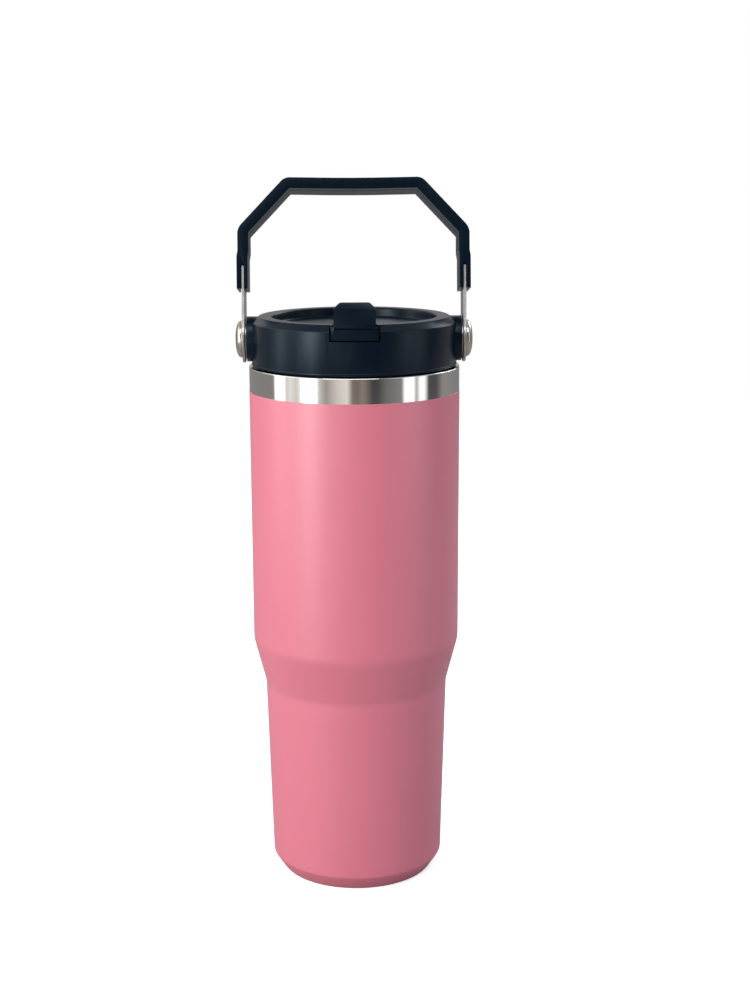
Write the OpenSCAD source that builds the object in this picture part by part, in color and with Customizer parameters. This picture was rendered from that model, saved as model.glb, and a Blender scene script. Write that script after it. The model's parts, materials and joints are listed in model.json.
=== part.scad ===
// Insulated tumbler: a double-wall steel cup, a screw lid with a flip-up spout and straw,
// and a carrying handle that swings on two pivot screws. Millimetres, +Z up, the origin at
// the centre of the base, the spout's thumb tab towards -Y.

/* [Cup] */
// Outer diameter of the upper wall
cup_d = 90; // [76:1:110]
// Height of the steel rim above the base
cup_h = 226.2; // [185:0.1:275]
// Outer diameter just under the shoulder
waist_d = 79.8; // [74:0.1:88]
// Outer diameter at the top of the base bevel
base_d = 75.2; // [62:0.1:78]
// Height where the upper wall starts to turn in
shoulder_z = 106; // [90:1:130]
// Height where the shoulder meets the lower wall
waist_z = 86.3; // [60:0.1:88]
// Height of the bevel round the base
bevel_h = 6.4; // [4:0.1:8]
// Width of the bevel round the base
bevel_w = 4.2; // [3:0.1:6]
// Height of the bare steel band under the rim
band_h = 10.5; // [5:0.1:20]
// Thickness of the outer wall
shell_t = 0.45; // [0.4:0.05:1]
// Thickness of the inner wall
liner_t = 0.45; // [0.4:0.05:1]
// Width of the vacuum between the two walls
vacuum_gap = 3; // [2:0.1:4]
// Thickness of the powder coat
coat_t = 0.1; // [0.08:0.01:0.2]
// Depth of the recess under the base
base_recess = 1.5; // [1:0.1:2.5]

/* [Lid] */
// Height of the lid's outer wall
lid_h = 20.5; // [19:0.1:26]
// How far the lid's wall stands in from the cup's
lid_inset = 1.4; // [0.5:0.1:2]
// Open joint between the rim and the lid
lid_joint = 0.6; // [0.4:0.1:1.5]
// Wall thickness of the lid
lid_t = 2.4; // [2:0.1:3]
// Width of the bevel round the lid's top
lid_bevel_w = 3.1; // [2:0.1:4]
// Height of the bevel round the lid's top
lid_bevel_h = 2.6; // [1.5:0.1:3.5]
// Width of the raised rim on top, bevel included
rim_w = 8.4; // [6.5:0.1:9]
// Depth of the dished top below the rim
dish_h = 4; // [3:0.1:5]
// Depth of the screw plug below the cup's rim
plug_h = 16.2; // [15.5:0.1:22]
// Wall thickness of the screw plug
plug_t = 2; // [1.5:0.1:3]
// Radial space between the plug and the liner
plug_gap = 2.2; // [2:0.1:3]

/* [Thread] */
// Rise of the lid in one full turn
thread_lead = 12; // [10:0.5:13]
// Number of thread starts
thread_starts = 2; // [2:1:2]
// Angle that each thread start covers
thread_span = 150; // [120:5:155]
// Height of each thread ridge off its wall
thread_depth = 1.45; // [1.2:0.05:1.6]

/* [Spout] */
// Width of the spout's barrel
barrel_w = 16.4; // [15:0.1:20]
// Radius of the spout's barrel
barrel_r = 6; // [5:0.1:6.5]
// Radius of the drinking bore, in the spout and in the straw
bore_r = 3.1; // [2.8:0.1:3.6]
// Distance of the spout's hinge behind the cup's axis
hinge_y = 2; // [0:0.5:6]
// Height of the spout's arm
arm_h = 8.6; // [8:0.1:10]
// Radius of the hinge trunnions
trunnion_r = 2.4; // [1.8:0.1:2.6]
// Width of the thumb tab
tab_w = 17; // [14:0.1:17.5]
// Height of the thumb tab above the lid's rim
tab_h = 9.1; // [6:0.1:12]
// Width of the notch in the lid's wall, which the spout's skirt closes
scoop_w = 20.7; // [19:0.1:26]
// Height of the notch
scoop_h = 6.6; // [5:0.1:8]
// Depth of the notch
scoop_t = 3; // [2.6:0.1:3.4]
// Wall thickness of the straw
straw_t = 0.9; // [0.7:0.1:1.2]
// Space between the straw and the cup's floor
straw_gap = 4; // [2:0.5:10]

/* [Handle] */
// Thickness of the steel straps
strap_t = 1.2; // [1:0.1:2]
// Width of the steel straps
strap_w = 18; // [14:0.5:20]
// Radius of the strap's round end
strap_end_r = 10; // [9:0.1:10.5]
// Distance from the pivots to the top of the grip
handle_h = 67.1; // [60:0.1:90]
// Distance from the pivots to the elbows
elbow_h = 45.9; // [42:0.1:52]
// Half the length of the grip's straight top
top_half = 28.9; // [22:0.1:36]
// Sag of the grip's top in its middle
top_sag = 0.5; // [0:0.1:2]
// Thickness of the grip
grip_t = 4.6; // [4.2:0.1:6]
// Width of the grip from front to back
grip_w = 19; // [18.5:0.5:24]
// Distance from the pivots to the grip's feet
foot_h = 20.6; // [14:0.1:24]
// Angle at which the handle stands, leaning back
lean = 10; // [0:1:20]
// Radius of the pivot screw's head
head_r = 7.9; // [7:0.1:9]
// Height of the pivot screw's domed head
head_h = 3; // [2:0.05:4]
// Radius of the lid's round bosses
boss_r = 9.6; // [8.5:0.1:9.8]

/* [Hidden] */
$fn = 96;

// Cut-past length, so that cutting tools never end flush with a face
past = 1;
// Running clearance round a turning shaft
run_gap = 0.05;
// Clearance between faces that move past each other
side_gap = 0.1;
// Space that keeps the coat's film apart from the steel
film_gap = 0.02;

// Cup
cup_r = cup_d / 2;
waist_r = waist_d / 2;
base_r = base_d / 2;
foot_r = base_r - bevel_w;
foot_w = 2.4;
cap_r = foot_r - foot_w;
rim_edge_r = 0.5;
shoulder_r = 16;
waist_edge_r = 10;
bevel_edge_r = 2.5;
bore_wall_r = cup_r - shell_t - vacuum_gap - liner_t;
liner_off = shell_t + vacuum_gap;
liner_floor = 7;
liner_edge_r = 9;
paint_z = cup_h - band_h;
coat_low = 0.5;
dimple_r = 5;
dimple_h = 1.6;
port_r = 1;
bead_r = 2.4;
bead_h = 0.8;
getter_x = 14;
getter_r = 3;
getter_h = 1.4;
getter_rim = 1;
getter_rim_h = 0.4;

// Lid
lid_low = cup_h + lid_joint;
lid_top = lid_low + lid_h;
lid_r = cup_r - lid_inset;
dish_r = lid_r - rim_w;
deck_z = lid_top - dish_h;
deck_low = deck_z - lid_t;
plug_low = cup_h - plug_h;
plug_r = bore_wall_r - plug_gap;
flange_z = lid_low + 1.2;
flange_h = 2.3;
fit_gap = 0.05;

// Gasket, in a groove of the plug just under the rim
gasket_h = 3.8;
gasket_t = 1.8;
gasket_top = cup_h - 0.8;
groove_h = gasket_h + 2 * side_gap;
groove_t = 0.5;
gasket_in_r = plug_r - groove_t + side_gap;
fin_reach = bore_wall_r - 0.25;
fin_h = 0.8;
fin_lows = [0.6, 2.2];
fin_rise = 0.2;

// Thread: the liner's ridges lie half a pitch above the plug's
pitch = thread_lead / thread_starts;
ridge_root_w = 2;
ridge_tip_w = 1.1;
plug_ridge_z = plug_low + 2;
liner_ridge_z = plug_ridge_z + pitch / 2;
ridge_bury = 0.3;
ridge_step = 6;

// Spout
hinge_z = deck_z - arm_h / 2;
arm_w = barrel_w - 1.6;
arm_end = -(dish_r - 0.3);
well_w = barrel_w + 0.8;
well_t = 2;
well_back = hinge_y + barrel_r + 1.2;
well_floor = hinge_z - arm_h / 2 - 0.8;
seat_floor = hinge_z - barrel_r - 2.5;
seat_front = hinge_y - barrel_r - 1;
floor_t = 1.6;
trunnion_l = well_t - 0.2;
tab_t = 2;
tab_slope = 2.4;
tab_front = -(lid_r - 0.2);
tab_side_w = 2.6;
tab_side_h = 2.4;
tab_gap = 0.25;
bridge_t = 1.8;
wall_top = lid_top - bridge_t - 0.1;
skirt_w = scoop_w - 1.4;
skirt_out = lid_r - 1;
skirt_t = 1;
seal_top = hinge_z - arm_h / 2 - 0.3;
neck_r = bore_r + straw_t + 0.9;
straw_r = bore_r + straw_t;
sleeve_top = seat_floor - floor_t - side_gap;
sleeve_low = plug_low - 8;
straw_top = sleeve_top - 0.3;
straw_low = liner_floor + straw_gap;
straw_tip = 3;
vent_y = well_back + 5;
vent_r = 1.2;
vent_stem_r = 2;
vent_stem_l = 1;
vent_head_r = 3.4;
vent_head_h = 0.8;
vent_bill_r = 2.6;
vent_bill_h = 3;
vent_slit_r = 0.4;

// Handle: distances out from the cup's axis, in the order in which the pieces stack up
pivot_z = lid_low + 10.6;
boss_x = lid_r + 2;
washer_x = boss_x + 0.05;
washer_t = 0.5;
strap_x = washer_x + washer_t + side_gap;
head_x = strap_x + strap_t + side_gap;
head_power = 2.5;
shoulder_pin_r = 3;
screw_r = 2;
insert_r = 3.4;
insert_l = 7;
insert_x = boss_x - 0.5 - insert_l;
boss_in_r = 5.5;
washer_r = 7.5;
slot_top = foot_h + 10;
flare_low = foot_h + 13.5;
leg_low = foot_h + 16;
inlay_low = foot_h + 17;
tang_w = 11;
tang_top = elbow_h - 3;
stake_r = 1.8;
stake_h = inlay_low + stake_r + 2 * side_gap;
inlay_w = 13;
inlay_t = 1.6;
inlay_gap = 0.2;
leg_out = strap_x + strap_t + 1.45;
foot_out = leg_out + 0.45;
sag_r = 800;
top_arc_r = 5;
elbow_arc_r = 6;

// ---- outlines ----

function unit(v) = v / norm(v);

// Arc that rounds corner p, between the directions of a and b, with radius r
function corner(a, p, b, r, n = 6) =
    r <= 0 ? [p] :
    let (u = unit(a - p), v = unit(b - p),
         half = acos(u * v) / 2,
         c = p + unit(u + v) * r / sin(half),
         from = p + u * r / tan(half) - c,
         to = p + v * r / tan(half) - c,
         start = atan2(from.y, from.x),
         turn = atan2(to.y, to.x) - start,
         sweep = turn > 180 ? turn - 360 : turn < -180 ? turn + 360 : turn)
    [for (i = [0:n]) c + r * [cos(start + sweep * i / n), sin(start + sweep * i / n)]];

// Closed outline through [x, y, radius] points, with each corner rounded to its radius
function rounded(path, n = 6) =
    let (last = len(path) - 1)
    [for (i = [0:last])
        let (a = path[i == 0 ? last : i - 1], p = path[i], b = path[i == last ? 0 : i + 1])
        each corner([a.x, a.y], [p.x, p.y], [b.x, b.y], p.z, n)];

module ring(path) { rotate_extrude() polygon(rounded(path)); }

// Cylinder along +X from x = a to x = b
module rod_x(r, a, b) { translate([a, 0, 0]) rotate([0, 90, 0]) cylinder(r = r, h = b - a); }

// Side outline given as [y, z, radius], as a plate of width w across X
module plate_x(path, w) {
    rotate([90, 0, 90]) translate([0, 0, -w / 2]) linear_extrude(w) polygon(rounded(path));
}

// Places children at the left (-X) or right (+X) pivot
module at_side(side) {
    translate([0, 0, pivot_z]) mirror([side < 0 ? 1 : 0, 0, 0]) children();
}

// Tilts the upright handle back about its pivots
module leaning() { translate([0, 0, pivot_z]) rotate([-lean, 0, 0]) children(); }

// ---- thread ridges ----

// One helical ridge from radius root to radius tip, fading in and out at its ends
module ridge(root, tip, z0) {
    steps = ceil(thread_span / ridge_step);
    out = tip > root ? 1 : -1;
    buried = root - out * ridge_bury;
    points = [for (i = [0:steps])
        let (a = thread_span * i / steps, z = z0 + thread_lead * a / 360,
             fade = min(1, (i + 0.3) / 3, (steps - i + 0.3) / 3),
             reach = root + (tip - root) * fade)
        each [for (q = [[buried, -ridge_root_w], [reach, -ridge_tip_w],
                        [reach, ridge_tip_w], [buried, ridge_root_w]])
            [q.x * cos(a), q.x * sin(a), z + out * q.y / 2]]];
    sides = [for (i = [0:steps - 1], j = [0:3])
        let (k = 4 * i + j, l = 4 * i + (j + 1) % 4)
        each [[k, l, l + 4], [k, l + 4, k + 4]]];
    end = 4 * steps;
    caps = [[3, 2, 1], [3, 1, 0], [end, end + 1, end + 2], [end, end + 2, end + 3]];
    polyhedron(points, concat(sides, caps));
}

module thread(root, tip, z0) {
    for (i = [0:thread_starts - 1]) rotate([0, 0, 360 * i / thread_starts]) ridge(root, tip, z0);
}

// ---- cup ----

// Outside of the cup's wall from the bevel up to z = top, moved in by off
function wall_out(off, low_r, low_z, top) = [
    [low_r - off, low_z, 0], [base_r - off, bevel_h, bevel_edge_r],
    [waist_r - off, waist_z, waist_edge_r], [cup_r - off, shoulder_z, shoulder_r],
    [cup_r - off, top, 0]];

function reversed(path) = [for (i = [len(path) - 1:-1:0]) path[i]];

module outer_shell() {
    outside = wall_out(0, foot_r, 0, cup_h);
    inside = reversed(wall_out(shell_t, foot_r, shell_t, cup_h - shell_t));
    lip = [[bore_wall_r + liner_t, cup_h, 0], [bore_wall_r + liner_t, cup_h - shell_t, 0]];
    rounded_rim = [for (i = [0:len(outside) - 1])
        i == len(outside) - 1 ? [cup_r, cup_h, rim_edge_r] : outside[i]];
    color("silver")
        ring(concat([[cap_r, 0, 0]], rounded_rim, lip, inside, [[cap_r, shell_t, 0]]));
}

module powder_coat() {
    low_r = foot_r + bevel_w * coat_low / bevel_h;
    color("palevioletred")
        ring(concat(wall_out(-film_gap - coat_t, low_r, coat_low, paint_z),
                    reversed(wall_out(-film_gap, low_r, coat_low, paint_z))));
}

// Liner wall at offset off from the cup's outside, from its floor at z = low to the rim
function liner_wall(off, low) = [
    [0, low, 0], [base_r - off, low, liner_edge_r], [waist_r - off, waist_z, waist_edge_r],
    [cup_r - off, shoulder_z, shoulder_r], [cup_r - off, cup_h, 0]];

module inner_liner() {
    color("lightgray") union() {
        ring(concat(liner_wall(liner_off, liner_floor - liner_t),
                    reversed(liner_wall(liner_off + liner_t, liner_floor))));
        thread(bore_wall_r, bore_wall_r - thread_depth, liner_ridge_z);
    }
}

module base_cap() {
    low = base_recess;
    top = base_recess + shell_t;
    color("silver") ring([
        [port_r, low + dimple_h, 0], [dimple_r - 1, low + dimple_h, 0.5], [dimple_r, low, 0.5],
        [cap_r - shell_t, low, 0.6], [cap_r - shell_t, 0, 0], [cap_r, 0, 0],
        [cap_r, top, 1], [dimple_r + 0.6, top, 0.5], [dimple_r - 0.4, top + dimple_h, 0.5],
        [port_r, top + dimple_h, 0]]);
}

// Bead of solder that seals the port through which the air was drawn out
module vacuum_plug() {
    low = base_recess + dimple_h;
    color("gray") union() {
        rotate_extrude() polygon([[0, low], for (i = [0:4])
            [bead_r * cos(22.5 * i), low - bead_h * sin(22.5 * i)]]);
        translate([0, 0, low - 0.1]) cylinder(r = port_r - film_gap, h = shell_t + 0.1, $fn = 48);
    }
}

// Gas-absorbing pellet in a small cup, welded on the base cap inside the vacuum
module getter() {
    color("dimgray") translate([getter_x, 0, base_recess + shell_t]) union() {
        cylinder(r = getter_r + getter_rim, h = getter_rim_h);
        cylinder(r = getter_r, h = getter_h);
    }
}

// ---- lid ----

module lid_gasket() {
    low = gasket_top - gasket_h;
    out = gasket_in_r + gasket_t;
    color("whitesmoke") ring([
        [gasket_in_r, low, 0], [out, low, 0.3],
        for (fin = fin_lows) each [
            [out, low + fin, 0], [fin_reach, low + fin + fin_rise, 0.15],
            [fin_reach, low + fin + fin_rise + fin_h / 2, 0.15], [out, low + fin + fin_rise + fin_h, 0]],
        [out, gasket_top, 0.3], [gasket_in_r, gasket_top, 0]]);
}

// Inverted cup with a dished top, before anything is cut in it
module lid_blank() {
    in_r = lid_r - lid_t;
    ring([[0, deck_low, 0], [in_r, deck_low, 1.2], [in_r, lid_low, 0.3], [lid_r - 0.4, lid_low, 0],
          [lid_r, lid_low + 0.4, 0], [lid_r, lid_top - lid_bevel_h, 0.6],
          [lid_r - lid_bevel_w, lid_top, 0.8], [dish_r, lid_top, 0.8], [dish_r - 0.4, deck_z, 0.6],
          [0, deck_z, 0]]);
}

// Round boss on the side, with its inner end that holds the insert nut
module boss(side) {
    at_side(side) {
        difference() {
            intersection() {
                rod_x(boss_r, lid_r - 4, boss_x);
                translate([0, -lid_r, lid_low - pivot_z]) cube([cup_d, cup_d, lid_h]);
            }
            translate([0, 0, lid_low - past - pivot_z])
                cylinder(r = lid_r - lid_t / 2, h = deck_low - lid_low + past);
        }
        rod_x(boss_in_r, insert_x - 1.5, lid_r - 1);
    }
}

// Trough that holds the spout's arm, with a deeper seat under the barrel
module well_outside() {
    w = well_w + 2 * well_t;
    translate([-w / 2, arm_end, well_floor - floor_t])
        cube([w, well_back + floor_t - arm_end, deck_low + 0.5 - well_floor + floor_t]);
    translate([-w / 2, seat_front - floor_t, seat_floor - floor_t])
        cube([w, well_back - seat_front + 2 * floor_t, deck_low - seat_floor + floor_t]);
}

module well_inside() {
    translate([-well_w / 2, arm_end - 0.4, well_floor])
        cube([well_w, well_back - arm_end + 0.4, lid_top - well_floor + past]);
    translate([-well_w / 2, seat_front, seat_floor])
        cube([well_w, well_back - seat_front, deck_z - seat_floor]);
}

// Notch in the front wall for the spout's skirt, and the step that its bridge lies on
module scoop() {
    back = lid_r - scoop_t;
    difference() {
        translate([-scoop_w / 2, -lid_r - past, lid_top - scoop_h])
            cube([scoop_w, lid_r, scoop_h + past]);
        cylinder(r = back, h = lid_top + 2 * past);
    }
    translate([-(tab_w + 1) / 2, -lid_r - past, wall_top])
        cube([tab_w + 1, lid_r - dish_r + 2 * past, lid_top - wall_top + past]);
}

module lid_shell() {
    color("midnightblue") difference() {
        union() {
            lid_blank();
            for (side = [-1, 1]) boss(side);
            well_outside();
        }
        well_inside();
        scoop();
        for (side = [-1, 1]) at_side(side) rod_x(insert_r, insert_x, boss_x + past);
        translate([0, hinge_y, hinge_z])
            rod_x(trunnion_r + run_gap, -well_w / 2 - well_t - past, well_w / 2 + well_t + past);
        translate([0, hinge_y, seat_floor - floor_t - past]) cylinder(r = neck_r, h = floor_t + 2 * past);
        translate([0, vent_y, deck_low - past]) cylinder(r = vent_r, h = lid_t + 2 * past, $fn = 48);
    }
}

// Threaded plug that closes the mouth, with the sleeve that holds the straw
module lid_plug() {
    in_r = plug_r - plug_t;
    groove_low = gasket_top - gasket_h - side_gap;
    color("darkslategray") difference() {
        union() {
            ring([[0, plug_low, 0], [plug_r, plug_low, 1.2],
                  [plug_r, groove_low, 0], [plug_r - groove_t, groove_low, 0],
                  [plug_r - groove_t, groove_low + groove_h, 0], [plug_r, groove_low + groove_h, 0],
                  [plug_r, flange_z, 0.4], [lid_r - lid_t - fit_gap, flange_z, 0],
                  [lid_r - lid_t - fit_gap, flange_z + flange_h, 0], [in_r, flange_z + flange_h, 0],
                  [in_r, plug_low + plug_t, 1.5], [0, plug_low + plug_t, 0]]);
            thread(plug_r, plug_r + thread_depth, plug_ridge_z);
            translate([0, hinge_y, sleeve_low]) cylinder(r = neck_r, h = sleeve_top - sleeve_low);
        }
        translate([0, hinge_y, sleeve_low - past])
            cylinder(r = straw_r + run_gap, h = sleeve_top - sleeve_low + 2 * past);
        translate([0, vent_y, plug_low - past])
            cylinder(r = vent_stem_r + run_gap, h = plug_t + 2 * past, $fn = 48);
    }
}

// Soft saddle under the barrel, with a neck down to the top of the straw
module spout_seal() {
    inset = 0.4;
    w = well_w - 2 * inset;
    depth = well_back - seat_front - 2 * inset;
    color("lightslategray") difference() {
        union() {
            translate([-w / 2, seat_front + inset, seat_floor]) cube([w, depth, seal_top - seat_floor]);
            translate([0, hinge_y, sleeve_top])
                cylinder(r = neck_r - side_gap, h = seat_floor - sleeve_top + 0.5);
        }
        translate([0, hinge_y, hinge_z]) rod_x(barrel_r + side_gap, -well_w, well_w);
        translate([0, hinge_y, straw_top - past]) cylinder(r = bore_r, h = barrel_r + straw_top);
    }
}

// Duckbill valve that lets air in as the drink goes down
module vent_valve() {
    stem_low = plug_low - vent_stem_l;
    bill_low = stem_low - vent_bill_h;
    color("lightslategray") translate([0, vent_y, 0]) difference() {
        union() {
            translate([0, 0, plug_low + plug_t]) cylinder(r = vent_head_r, h = vent_head_h, $fn = 48);
            translate([0, 0, stem_low]) cylinder(r = vent_stem_r, h = plug_t + vent_stem_l, $fn = 48);
            translate([0, 0, bill_low]) intersection() {
                cylinder(r = vent_bill_r, h = vent_bill_h, $fn = 48);
                plate_x([[-0.5, 0, 0], [0.5, 0, 0], [vent_bill_r, vent_bill_h, 0],
                         [-vent_bill_r, vent_bill_h, 0]], 3 * vent_bill_r);
            }
        }
        translate([0, 0, bill_low + past])
            cylinder(r = vent_slit_r, h = plug_low + plug_t + vent_head_h - bill_low, $fn = 24);
    }
}

// Straw with a slanted end, so that it can't seal itself on the floor
module straw() {
    color("darkslategray") translate([0, hinge_y, 0]) difference() {
        translate([0, 0, straw_low]) cylinder(r = straw_r, h = straw_top - straw_low);
        translate([0, 0, straw_low - past]) cylinder(r = bore_r, h = straw_top - straw_low + 2 * past);
        plate_x([[-straw_r - past, straw_low - past, 0], [straw_r + past, straw_low - past, 0],
                 [straw_r + past, straw_low + straw_tip * (1 + past / straw_r / 2), 0],
                 [-straw_r - past, straw_low - straw_tip * past / straw_r / 2, 0]], 3 * straw_r);
    }
}

// ---- pivots ----

module insert_nut(side) {
    color("goldenrod") at_side(side) difference() {
        rod_x(insert_r, insert_x, insert_x + insert_l);
        rod_x(screw_r + run_gap, insert_x - past, insert_x + insert_l + past);
    }
}

module friction_washer(side) {
    color("silver") at_side(side) difference() {
        rod_x(washer_r, washer_x, washer_x + washer_t);
        rod_x(shoulder_pin_r + side_gap, washer_x - past, washer_x + washer_t + past);
    }
}

// Pan head, a shoulder that the strap turns on, and a screwed end in the insert nut.
// The head's outline is a quarter of a superellipse.
module pivot_screw(side) {
    color("silver") at_side(side) union() {
        rotate([0, 90, 0]) rotate_extrude() polygon(concat(
            [[0, head_x], [head_r - 0.3, head_x], [head_r, head_x + 0.3]],
            [for (i = [1:14]) let (a = 90 * i / 14, q = 2 / head_power)
                [head_r * pow(cos(a), q), head_x + 0.3 + (head_h - 0.3) * pow(sin(a), q)]]));
        rod_x(shoulder_pin_r, boss_x - 0.5, head_x + 0.1);
        rod_x(screw_r, insert_x + 0.5, boss_x);
    }
}

// ---- spout ----

// Side outline of the bridge over the rim and of the thumb tab that stands on it
function tab_side() =
    let (low = wall_top + tab_gap, top = lid_top + tab_h)
    [[arm_end, deck_z - 2, 0], [arm_end, low, 0.8], [tab_front + 0.8, low, 0.3],
     [tab_front, lid_top - 0.9, 0.4], [tab_front, lid_top + 0.4, 0.6],
     [tab_front + tab_slope, top, 0.8], [tab_front + tab_slope + tab_t, top, 0.8],
     [tab_front + tab_slope + tab_t - 0.6, lid_top + 1, 2], [arm_end - 1, lid_top + 0.8, 2],
     [arm_end + 6, deck_z, 6], [arm_end + 8, deck_z - 2, 0]];

// Front outline of the thumb tab, with its upper corners cut off
function tab_face() =
    let (top = lid_top + tab_h)
    [[-tab_w / 2, deck_z - 3, 0], [tab_w / 2, deck_z - 3, 0],
     [tab_w / 2, top - tab_side_h, 1.6], [tab_w / 2 - tab_side_w, top, 1.6],
     [-tab_w / 2 + tab_side_w, top, 1.6], [-tab_w / 2, top - tab_side_h, 1.6]];

// Curved skirt that hangs from the bridge and closes the notch in the lid's wall
module skirt() {
    low = lid_top - scoop_h + 0.4;
    intersection() {
        difference() {
            cylinder(r = skirt_out, h = lid_top);
            translate([0, 0, -past]) cylinder(r = skirt_out - skirt_t, h = lid_top + 2 * past);
        }
        translate([-skirt_w / 2, -lid_r - past, low])
            cube([skirt_w, lid_r, wall_top + tab_gap + bridge_t / 2 - low]);
    }
}

// Drinking spout: barrel with trunnions, arm with the bore through it, bridge, skirt and tab
module flip_spout() {
    low = hinge_z - arm_h / 2;
    color("midnightblue") difference() {
        union() {
            translate([0, hinge_y, hinge_z]) {
                rod_x(barrel_r, -barrel_w / 2, barrel_w / 2);
                rod_x(trunnion_r, -barrel_w / 2 - 0.4 - trunnion_l, barrel_w / 2 + 0.4 + trunnion_l);
            }
            plate_x([[arm_end, low, 1.5], [hinge_y, low, 0], [hinge_y, deck_z, 0],
                     [arm_end, deck_z, 0]], arm_w);
            intersection() {
                plate_x(tab_side(), tab_w);
                rotate([90, 0, 0]) translate([0, 0, -lid_r]) linear_extrude(3 * lid_r)
                    polygon(rounded(tab_face()));
            }
            skirt();
        }
        translate([0, hinge_y + barrel_r + past, hinge_z]) rotate([90, 0, 0])
            cylinder(r = bore_r, h = hinge_y + barrel_r + 2 * past - arm_end);
    }
}

// ---- handle, drawn upright about the pivot line and then tilted back ----

// Steel strap: round end with the pivot hole, wide blade, and a narrow tang in the grip
module strap(side) {
    color("silver") leaning() mirror([side < 0 ? 1 : 0, 0, 0]) difference() {
        union() {
            rod_x(strap_end_r, strap_x, strap_x + strap_t);
            translate([strap_x, -strap_w / 2, 0]) cube([strap_t, strap_w, slot_top - 0.3]);
            translate([strap_x, -tang_w / 2, 0]) cube([strap_t, tang_w, tang_top]);
        }
        rod_x(shoulder_pin_r + run_gap, strap_x - past, strap_x + strap_t + past);
        translate([0, 0, stake_h]) rod_x(stake_r + side_gap, strap_x - past, strap_x + strap_t + past);
    }
}

// Half of the grip's outline as [x, height, radius], at distance off inside its outer face
function grip_half(off, low) =
    let (slant = atan2(handle_h - elbow_h, leg_out - top_half),
         shift = off * tan(slant / 2), rise = off * tan(45 - slant / 2))
    [each low > leg_low ? [[leg_out - off, low, 0]] :
         [[foot_out - off, low, 0], [foot_out - off, flare_low, 2],
          [leg_out - off, leg_low, 2]],
     [leg_out - off, elbow_h - rise, max(elbow_arc_r - off, 0.6)],
     [top_half - shift, handle_h - off, max(top_arc_r - off, 0.6)],
     [0, handle_h - off - top_sag, sag_r]];

// The other half, without the middle point that both halves share
function mirrored(path) = [for (p = reversed(path)) if (p.x > 0) [-p.x, p.y, p.z]];

// Band that follows the grip's outline between two depths, w wide
module grip_band(off_a, off_b, low, w) {
    a = grip_half(off_a, low);
    b = grip_half(off_b, low);
    rotate([90, 0, 0]) translate([0, 0, -w / 2]) linear_extrude(w)
        polygon(rounded(concat(a, mirrored(a), reversed(mirrored(b)), reversed(b))));
}

module grip_outer() {
    color("midnightblue") leaning() difference() {
        grip_band(0, grip_t, foot_h, grip_w);
        grip_band(grip_t - inlay_t - inlay_gap, grip_t + past,
                  inlay_low - inlay_gap, inlay_w + 2 * inlay_gap);
        for (side = [-1, 1]) mirror([side < 0 ? 1 : 0, 0, 0]) {
            translate([strap_x - side_gap, -grip_w / 2 - past, foot_h - past])
                cube([strap_t + 2 * side_gap, grip_w + 2 * past, slot_top - foot_h + past]);
            translate([strap_x - side_gap, -tang_w / 2 - side_gap, foot_h - past])
                cube([strap_t + 2 * side_gap, tang_w + 2 * side_gap, tang_top - foot_h + 0.2 + past]);
            translate([strap_x - 0.6, -tang_w / 2 - side_gap, inlay_low])
                cube([strap_t, tang_w + 2 * side_gap, tang_top - inlay_low + 0.2]);
        }
    }
}

// Inlay along the inside of the grip, whose two stakes hold the straps' tangs
module grip_inner() {
    color("darkslategray") leaning() union() {
        grip_band(grip_t - inlay_t, grip_t, inlay_low, inlay_w);
        for (side = [-1, 1]) mirror([side < 0 ? 1 : 0, 0, 0]) translate([0, 0, stake_h])
            rod_x(stake_r, strap_x - 0.6, strap_x + strap_t);
    }
}

outer_shell();
powder_coat();
inner_liner();
base_cap();
vacuum_plug();
getter();
lid_gasket();
lid_shell();
lid_plug();
spout_seal();
vent_valve();
straw();
insert_nut(-1);  // insert_nut_left
insert_nut(1);  // insert_nut_right
friction_washer(-1);  // friction_washer_left
friction_washer(1);  // friction_washer_right
pivot_screw(-1);  // pivot_screw_left
pivot_screw(1);  // pivot_screw_right
flip_spout();
strap(-1);  // strap_left
strap(1);  // strap_right
grip_outer();
grip_inner();
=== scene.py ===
"""Looks of an insulated tumbler with a screw lid, a flip-up spout and a swinging carry handle.

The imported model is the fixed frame. Its steel, paint, seals and screws keep their own meshes. The
moulded pieces and the straps are copied with softened edges, and the lid gets a bead round its foot.
Every piece gets its own finish. Metres throughout, +Z up, the spout's thumb tab towards -Y.
"""
import json
import math
import bmesh
import bpy
import numpy as np
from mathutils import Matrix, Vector


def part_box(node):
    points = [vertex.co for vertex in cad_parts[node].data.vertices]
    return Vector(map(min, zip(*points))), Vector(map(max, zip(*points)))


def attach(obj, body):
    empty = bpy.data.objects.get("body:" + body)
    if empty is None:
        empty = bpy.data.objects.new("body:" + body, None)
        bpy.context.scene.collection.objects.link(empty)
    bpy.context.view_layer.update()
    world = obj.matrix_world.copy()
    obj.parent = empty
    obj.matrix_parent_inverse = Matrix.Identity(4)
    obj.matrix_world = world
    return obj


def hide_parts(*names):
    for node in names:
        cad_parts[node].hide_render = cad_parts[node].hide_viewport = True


MM = 0.001

# How far the handle leans back at rest
LEAN = math.radians(10)

# Camera: places in metres, angles in degrees, lens and sensor in millimetres
CAM_DISTANCE = 0.700
CAM_SIDE = -0.0045
CAM_YAW = -1.12
CAM_ROLL = 0.2
CAM_HEIGHT = 0.317
CAM_PITCH = 12.12
CAM_LENS = 59.04
SENSOR = 36.0

# Room: the ceiling's brightness, and how steep a ray meets each band of it (1 is straight up)
CEILING = 0.5
HIGH_WALLS_FULL = 0.3
CEILING_FROM = 0.55
CEILING_FULL = 0.9

# Floor: its radius, where it starts and ends to fade, and its glow
FLOOR_RADIUS = 4.0
FLOOR_FADE_FROM = 0.5
FLOOR_FADE_TO = 1.6
FLOOR_GLOW = 0.55

# Softened copies: how near points are merged, and below what angle two faces are one flat face
MERGE = 0.002 * MM
FLAT = math.radians(0.6)

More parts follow.
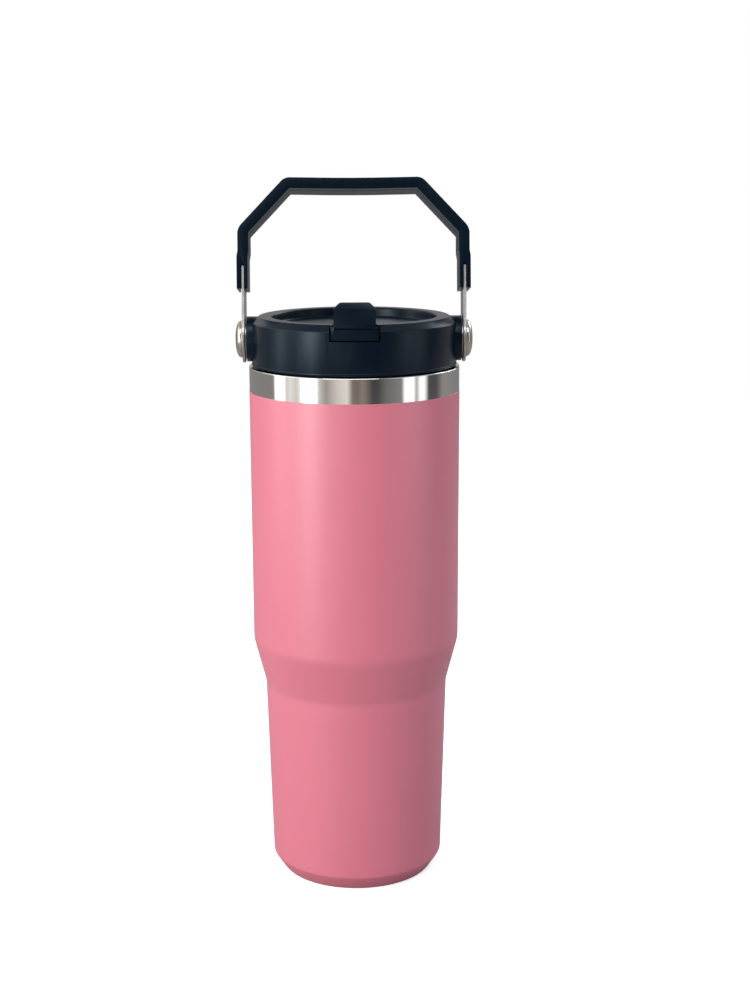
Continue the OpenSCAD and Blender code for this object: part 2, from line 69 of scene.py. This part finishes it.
# Colours, linear
PINK = (0.72, 0.182, 0.25, 1)
NAVY = (0.0008, 0.0050, 0.0125, 1)
INLAY = (0.016, 0.018, 0.022, 1)
INNER = (0.018, 0.024, 0.032, 1)
BLACK = (0, 0, 0, 1)
WHITE = (1, 1, 1, 1)


# ---- shader maths ----

class Wire:
    """One output of a node; sums written with it add Math nodes to the same tree."""

    def __init__(self, finish, socket):
        self.finish = finish
        self.socket = socket

    def maths(self, operation, *values):
        return self.finish.node("ShaderNodeMath", {"operation": operation}, *values)

    def __add__(self, other):
        return self.maths("ADD", self, other)

    __radd__ = __add__

    def __sub__(self, other):
        return self.maths("SUBTRACT", self, other)

    def __rsub__(self, other):
        return self.maths("SUBTRACT", other, self)

    def __mul__(self, other):
        return self.maths("MULTIPLY", self, other)

    __rmul__ = __mul__

    def __truediv__(self, other):
        return self.maths("DIVIDE", self, other)

    def __rtruediv__(self, other):
        return self.maths("DIVIDE", other, self)

    def __pow__(self, other):
        return self.maths("POWER", self, other)

    def __rpow__(self, other):
        return self.maths("POWER", other, self)


class Finish:
    """A surface finish: one material, its node tree and its shader. The room's light is one too."""

    def __init__(self, name, data=None):
        self.material = data or bpy.data.materials.new(name)
        self.material.use_nodes = True
        self.tree = self.material.node_tree
        self.shader = self.tree.nodes.get("Principled BSDF")

    def node(self, kind, settings, *values, out=0, **named):
        """Adds a node of a kind, with its settings first and then the values or links of its sockets."""
        made = self.tree.nodes.new(kind)
        for key, value in settings.items():
            if key == "stops":
                self.fill_ramp(made.color_ramp, value)
            else:
                setattr(made, key, value)
        sockets = dict(enumerate(values)) | {k.replace("_", " "): v for k, v in named.items()}
        for key, value in sockets.items():
            self.feed(made.inputs[key], value)
        return Wire(self, made.outputs[out]) if made.outputs else None

    def fill_ramp(self, ramp, stops):
        while len(ramp.elements) < len(stops):
            ramp.elements.new(1.0)
        for element, (place, colour) in zip(ramp.elements, stops):
            element.position = place
            element.color = colour

    def feed(self, socket, value):
        if isinstance(value, Wire):
            self.tree.links.new(value.socket, socket)
        else:
            socket.default_value = value

    def set(self, **sockets):
        """Sets the shader's own sockets, by name with underscores for spaces."""
        for key, value in sockets.items():
            self.feed(self.shader.inputs[key.replace("_", " ")], value)
        return self

    def split(self, vector):
        """The X, Y and Z of a vector."""
        first = self.node("ShaderNodeSeparateXYZ", {}, vector)
        return [Wire(self, first.socket.node.outputs[axis]) for axis in "XYZ"]

    # -- patterns --

    def place(self, scale=(1, 1, 1), turn=(0, 0, 0), centre=(0, 0, 0)):
        """Object coordinates, moved so that centre is the origin, then turned and scaled."""
        spot = self.node("ShaderNodeTexCoord", {}, out="Object")
        moved = self.node("ShaderNodeVectorMath", {"operation": "SUBTRACT"}, spot, centre)
        return self.node("ShaderNodeMapping", {}, moved, Rotation=turn, Scale=scale)

    def noise(self, where, scale, detail=2.0, roughness=0.5):
        return self.node("ShaderNodeTexNoise", {}, Vector=where, Scale=scale, Detail=detail,
                         Roughness=roughness)

    def between(self, factor, low, high):
        """Colour that goes from low to high as the factor goes from 0 to 1."""
        return self.node("ShaderNodeMix", {"data_type": "RGBA"}, out="Result", Factor=factor, A=low, B=high)

    def blend_from(self, value, start, end, low=0.0, high=1.0):
        """Goes smoothly from low to high as the value goes from start to end."""
        smooth = {"interpolation_type": "SMOOTHSTEP"}
        return self.node("ShaderNodeMapRange", smooth, value, start, end, low, high)

    def bump(self, height, depth, under=None):
        """Normal of a relief whose height of 1 stands depth metres proud."""
        links = {} if under is None else {"Normal": under}
        return self.node("ShaderNodeBump", {}, Strength=1.0, Distance=depth, Height=height, **links)


def shaded(colour, factor):
    """The colour made lighter or darker by a factor."""
    return tuple(c * factor for c in colour[:3]) + (1,)


# ---- finishes ----

def powder_finish():
    """Satin powder coat: fine orange peel, finer grains in it, and a faint mottle."""
    f = Finish("powder_pink")
    where = f.place()
    peel = f.noise(where, 1500.0, 2.0)
    grain = f.noise(where, 5200.0, 1.0)
    mottle = f.noise(where, 38.0, 3.0)
    f.set(Base_Color=f.between(mottle, shaded(PINK, 0.96), shaded(PINK, 1.04)),
          Roughness=0.33 + 0.12 * grain,
          Normal=f.bump(peel + 0.5 * grain, 0.022 * MM))
    f.set(Specular_IOR_Level=1.0)
    return f.material


def polished_steel():
    """Bare rim: polished, with hair-fine turned lines round the axis."""
    f = Finish("polished_steel")
    lines = f.noise(f.place(scale=(12, 12, 5200)), 1.0, 3.0, 0.6)
    cloud = f.noise(f.place(), 60.0, 2.0)
    f.set(Metallic=1.0, Base_Color=f.between(cloud, (0.64, 0.62, 0.59, 1), (0.72, 0.70, 0.67, 1)),
          Roughness=0.05 + 0.06 * lines, Normal=f.bump(lines, 0.0006 * MM))
    return f.material


def strap_steel(lean):
    """Straps: satin, brushed along their length, which leans back with the handle."""
    f = Finish("strap_steel")
    brushed = f.noise(f.place(scale=(900, 2600, 26), turn=(lean, 0, 0)), 1.0, 3.0, 0.6)
    f.set(Metallic=1.0, Base_Color=f.between(brushed, (0.36, 0.355, 0.34, 1), (0.58, 0.57, 0.545, 1)),
          Roughness=0.27 + 0.22 * brushed, Normal=f.bump(brushed, 0.004 * MM))
    return f.material


def screw_steel(pivot_z):
    """Pivot screws: slightly warm, turned in fine rings round the pivot line."""
    f = Finish("screw_steel")
    _, y, z = f.split(f.place(centre=(0, 0, pivot_z)))
    radius = (y * y + z * z) ** 0.5
    rings = f.node("ShaderNodeTexNoise", {"noise_dimensions": "1D"}, W=radius * 5200.0, Detail=2.0)
    cloud = f.noise(f.place(), 160.0, 2.0)
    f.set(Metallic=1.0, Base_Color=f.between(cloud, (0.50, 0.45, 0.37, 1), (0.62, 0.56, 0.48, 1)),
          Roughness=0.10 + 0.12 * rings, Normal=f.bump(rings, 0.002 * MM))
    return f.material


def moulded_plastic(name, colour, roughness, grain_mm, depth_mm, gloss=0.22):
    """Moulded plastic with a spark-eroded grain and slight unevenness in its sheen."""
    f = Finish(name)
    where = f.place()
    grain = f.noise(where, 1.0 / (grain_mm * MM), 2.0)
    cloud = f.noise(where, 55.0, 3.0)
    f.set(Base_Color=f.between(cloud, shaded(colour, 0.88), shaded(colour, 1.15)),
          Roughness=roughness - 0.04 + 0.08 * cloud,
          Normal=f.bump(grain, depth_mm * MM))
    f.set(Specular_IOR_Level=gloss, Specular_Tint=(0.75, 0.96, 1.0, 1))
    return f.material


def silicone():
    """Milky silicone: matt, with dust-fine speckle."""
    f = Finish("silicone")
    speck = f.noise(f.place(), 2400.0, 2.0)
    f.set(Base_Color=f.between(speck, (0.50, 0.52, 0.55, 1), (0.60, 0.62, 0.64, 1)),
          Roughness=0.55 + 0.1 * speck, Normal=f.bump(speck, 0.006 * MM))
    return f.material


def soft_metal(name, low, high, roughness, scale):
    """Plain metal with a grain: cast solder, or the knurl of a brass insert."""
    f = Finish(name)
    grain = f.noise(f.place(), scale, 2.0)
    f.set(Metallic=1.0, Base_Color=f.between(grain, low, high),
          Roughness=roughness + 0.15 * grain, Normal=f.bump(grain, 0.02 * MM))
    return f.material


# ---- shapes ----

def coat(obj, material):
    """Puts one material in every slot of an object."""
    obj.data.materials.clear()
    obj.data.materials.append(material)
    obj.data.polygons.foreach_set("material_index", [0] * len(obj.data.polygons))


def finish_node(node, material):
    """Gives a CAD node's slots a material and leaves its mesh alone."""
    for slot in frame["nodes"][node].material_slots:
        slot.material = material


def softened(node, body, width, segments=3, angle=32):
    """Copy of a node with its doubles merged, its flat faces made whole and its edges rounded."""
    source = frame["nodes"][node]
    mesh = source.data.copy()
    mesh.name = node + "_soft"
    work = bmesh.new()
    work.from_mesh(mesh)
    bmesh.ops.remove_doubles(work, verts=work.verts, dist=MERGE)
    bmesh.ops.dissolve_limit(work, angle_limit=FLAT, verts=work.verts, edges=work.edges)
    for face in work.faces:
        face.smooth = True
    work.to_mesh(mesh)
    work.free()
    piece = bpy.data.objects.new(node + "_soft", mesh)
    bpy.context.scene.collection.objects.link(piece)
    bevel = piece.modifiers.new("Rounded", "BEVEL")
    bevel.width = width * MM
    bevel.segments = segments
    bevel.limit_method = "ANGLE"
    bevel.angle_limit = math.radians(angle)
    bevel.use_clamp_overlap = True
    bevel.harden_normals = True
    bevel.miter_outer = "MITER_ARC"
    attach(piece, body)
    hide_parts(node)
    return piece


def turned_ring(name, body, outline, turns=240):
    """Closed ring round the cup's axis.

    The point at angle a of the outline's point (r, z) is (r cos a, r sin a, z).
    """
    r, z = np.array(outline).T
    a = np.linspace(0, math.tau, turns, endpoint=False)[:, None]
    points = np.stack([r * np.cos(a), r * np.sin(a), z + 0 * a], axis=-1).reshape(-1, 3)
    i = np.arange(turns)[:, None]
    j = np.arange(len(r))
    corners = [(i, j), (i + 1, j), (i + 1, j + 1), (i, j + 1)]
    faces = np.stack([(p % turns) * len(r) + q % len(r) for p, q in corners], axis=-1).reshape(-1, 4)
    mesh = bpy.data.meshes.new(name)
    mesh.from_pydata(points.tolist(), [], faces.tolist())
    mesh.shade_smooth()
    ring = bpy.data.objects.new(name, mesh)
    bpy.context.scene.collection.objects.link(ring)
    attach(ring, body)
    return ring


def lid_bead(height=1.0, proud=0.22, lift=0.05, root=0.5):
    """Moulded bead round the foot of the lid's wall, sizes in millimetres.

    Half an ellipse: at angle a the outline stands proud cos a off the wall, and height / 2 sin a above
    its own middle. Its root is buried in the wall.
    """
    low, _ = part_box("lid_shell")
    wall = -low[1]
    foot = low[2]
    a = np.linspace(-math.pi / 2, math.pi / 2, 13)
    half = height * MM / 2
    curve = zip(wall + proud * MM * np.cos(a), foot + lift * MM + half + half * np.sin(a))
    back = [(wall - root * MM, foot + z * MM) for z in (height, 2 * lift)]
    bead = turned_ring("lid_bead", "lid", list(curve) + back)
    return bead


# ---- studio ----

def make_camera():
    data = bpy.data.cameras.new("camera")
    data.lens = CAM_LENS
    data.sensor_width = SENSOR
    data.sensor_fit = "AUTO"
    data.clip_start = 0.01
    camera = bpy.data.objects.new("camera", data)
    camera.location = (CAM_SIDE, -CAM_DISTANCE, CAM_HEIGHT)
    camera.rotation_euler = (math.radians(90 - CAM_PITCH), math.radians(CAM_ROLL), math.radians(CAM_YAW))
    bpy.context.scene.collection.objects.link(camera)
    bpy.context.scene.camera = camera


# Room round the object: bearing in degrees from the camera's side, left of it negative, then
# brightness and warmth. Low is below the horizon, which upright walls mirror, and high is above it.
LOW_WALLS = [(-180, 0.28, 1.0), (-98, 0.3, 1.03), (-93, 3.6, 0.98), (-85, 3.6, 0.98), (-80, 0.85, 1.04),
             (-74, 1.1, 1.0), (-66, 0.85, 1.04), (-61, 1.1, 1.0), (-57, 3.8, 0.99), (-46, 3.8, 0.99),
             (-40, 0.8, 1.02), (-31, 0.42, 1.06), (-20, 0.8, 1.05), (-8, 1.05, 1.04), (-3, 0.25, 1.14),
             (3, 0.2, 1.1), (8, 0.3, 1.14), (13, 0.2, 1.12), (19, 0.07, 1.05), (25, 0.08, 1.0),
             (34, 0.2, 1.0), (52, 0.3, 1.0), (56, 1.8, 0.98), (66, 1.8, 0.98), (70, 0.45, 1.0),
             (75, 1.6, 0.98), (81, 1.6, 0.98), (87, 0.09, 1.02), (100, 0.1, 1.02), (112, 0.34, 1.02),
             (150, 0.26, 1.0)]
HIGH_WALLS = [(-180, 0.7, 1.0), (-125, 0.7, 1.0), (-99, 2.3, 0.99), (-42, 2.0, 0.99), (-25, 0.6, 1.0),
              (0, 0.12, 1.0), (30, 0.12, 0.95), (52, 0.9, 0.9), (68, 0.9, 0.85), (80, 0.6, 0.75),
              (120, 0.7, 0.8), (150, 0.7, 0.95)]


def wall_stops(walls):
    """Ramp stops of the walls: a full turn is 0 to 1, and warmth raises red and lowers blue."""
    return [(0.5 + bearing / 360, (bright * warm, bright, bright / warm, 1))
            for bearing, bright, warm in walls]


def make_world():
    """Plain white behind the object; round it, a room with windows to the left and darker walls between."""
    world = bpy.data.worlds.new("studio")
    bpy.context.scene.world = world
    f = Finish("studio", world)
    f.tree.nodes.clear()
    ray = f.node("ShaderNodeTexCoord", {}, out="Generated")
    x, y, z = f.split(ray)
    turn = f.node("ShaderNodeMath", {"operation": "ARCTAN2"}, x, 0 - y) / math.tau + 0.5
    low = f.node("ShaderNodeValToRGB", {"stops": wall_stops(LOW_WALLS)}, turn)
    high = f.node("ShaderNodeValToRGB", {"stops": wall_stops(HIGH_WALLS)}, turn)
    walls = f.between(f.blend_from(z, 0.0, HIGH_WALLS_FULL), low, high)
    room = f.between(f.blend_from(z, CEILING_FROM, CEILING_FULL), walls, shaded(WHITE, CEILING))
    seen = f.node("ShaderNodeLightPath", {}, out="Is Camera Ray")
    background = f.node("ShaderNodeBackground", {}, f.between(seen, room, WHITE), 1.0)
    f.node("ShaderNodeOutputWorld", {}, Surface=background)


# Each lamp's name, place, aim, size, power in watts and colour
LAMPS = [
    ("window_left", (-0.97, -0.87, 0.3), (0, 0, 0.05), (0.3, 0.6), 4.0, (1.0, 0.99, 0.97)),
    ("ceiling_front", (-0.1, -1.2, 2.1), (0, 0, 0.1), (1.8, 1.0), 21.0, (1.0, 0.98, 0.99)),
    ("back_right", (0.95, 1.05, 0.9), (0, 0, 0.15), (0.8, 0.8), 6.0, (0.97, 0.97, 1.0)),
]


def area_light(name, place, aim, size, power, colour):
    """Rectangular lamp that shines from its place towards its aim and isn't seen itself."""
    data = bpy.data.lights.new(name, "AREA")
    data.shape = "RECTANGLE"
    data.size, data.size_y = size
    data.energy = power
    data.color = colour
    lamp = bpy.data.objects.new(name, data)
    bpy.context.scene.collection.objects.link(lamp)
    lamp.visible_camera = False
    lamp.location = place
    lamp.rotation_euler = (Vector(aim) - Vector(place)).to_track_quat("-Z", "Y").to_euler()


def make_floor(sides=96):
    """Pale round floor that fades into the white beyond it, and glows a little for the camera only."""
    mesh = bpy.data.meshes.new("floor")
    turn = np.linspace(0, math.tau, sides, endpoint=False)
    edge = np.stack([FLOOR_RADIUS * np.cos(turn), FLOOR_RADIUS * np.sin(turn), 0 * turn], axis=1)
    mesh.from_pydata(edge.tolist(), [], [list(range(sides))])
    floor = bpy.data.objects.new("floor", mesh)
    bpy.context.scene.collection.objects.link(floor)
    f = Finish("floor_pale")
    reach = f.node("ShaderNodeVectorMath", {"operation": "LENGTH"}, f.place(), out="Value")
    seen = f.node("ShaderNodeLightPath", {}, out="Is Camera Ray")
    f.set(Base_Color=f.between(seen, shaded(WHITE, 0.36), shaded(WHITE, 0.9)),
          Emission_Color=f.between(seen, BLACK, shaded(WHITE, FLOOR_GLOW)),
          Alpha=f.blend_from(reach, FLOOR_FADE_FROM, FLOOR_FADE_TO, 1.0, 0.0))
    f.set(Roughness=0.75, Specular_IOR_Level=0.2, Emission_Strength=1.0)
    coat(floor, f.material)


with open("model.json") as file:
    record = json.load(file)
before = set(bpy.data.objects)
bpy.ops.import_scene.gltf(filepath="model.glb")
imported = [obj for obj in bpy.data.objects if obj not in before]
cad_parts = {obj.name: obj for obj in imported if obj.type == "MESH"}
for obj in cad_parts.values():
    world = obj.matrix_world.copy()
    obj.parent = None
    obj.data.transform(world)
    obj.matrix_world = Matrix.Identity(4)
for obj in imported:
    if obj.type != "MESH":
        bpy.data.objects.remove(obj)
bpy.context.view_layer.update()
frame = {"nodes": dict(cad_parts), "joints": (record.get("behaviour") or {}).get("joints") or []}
bpy.context.scene.view_settings.view_transform = "Standard"
make_camera()
make_world()
make_floor()
for lamp in LAMPS:
    area_light(*lamp)

swing = next(joint for joint in frame["joints"] if joint["name"] == "handle_swing")
navy = moulded_plastic("navy_plastic", NAVY, 0.29, 0.30, 0.004)
inlay = moulded_plastic("inlay_plastic", INLAY, 0.45, 0.22, 0.01, 0.4)
inner = moulded_plastic("inner_plastic", INNER, 0.42, 0.4, 0.004)
steel = polished_steel()
strap = strap_steel(LEAN)
screw = screw_steel(swing["pos_m"][2])
rubber = silicone()
solder = soft_metal("solder", (0.28, 0.28, 0.29, 1), (0.36, 0.36, 0.36, 1), 0.45, 900.0)
brass = soft_metal("brass", (0.66, 0.45, 0.16, 1), (0.78, 0.58, 0.26, 1), 0.3, 1400.0)

finish_node("powder_coat", powder_finish())
for node in ("outer_shell", "inner_liner", "base_cap"):
    finish_node(node, steel)
for node in ("vacuum_plug", "getter"):
    finish_node(node, solder)
for node in ("lid_gasket", "spout_seal", "vent_valve"):
    finish_node(node, rubber)
for node in ("lid_plug", "straw"):
    finish_node(node, inner)
for side in ("left", "right"):
    finish_node("insert_nut_" + side, brass)
    finish_node("friction_washer_" + side, strap)
    finish_node("pivot_screw_" + side, screw)
    coat(softened("strap_" + side, "handle", 0.2), strap)
coat(softened("lid_shell", "lid", 0.35), navy)
coat(lid_bead(), navy)
coat(softened("flip_spout", "spout", 0.4), navy)
coat(softened("grip_outer", "handle", 0.6), navy)
coat(softened("grip_inner", "handle", 0.4), inlay)
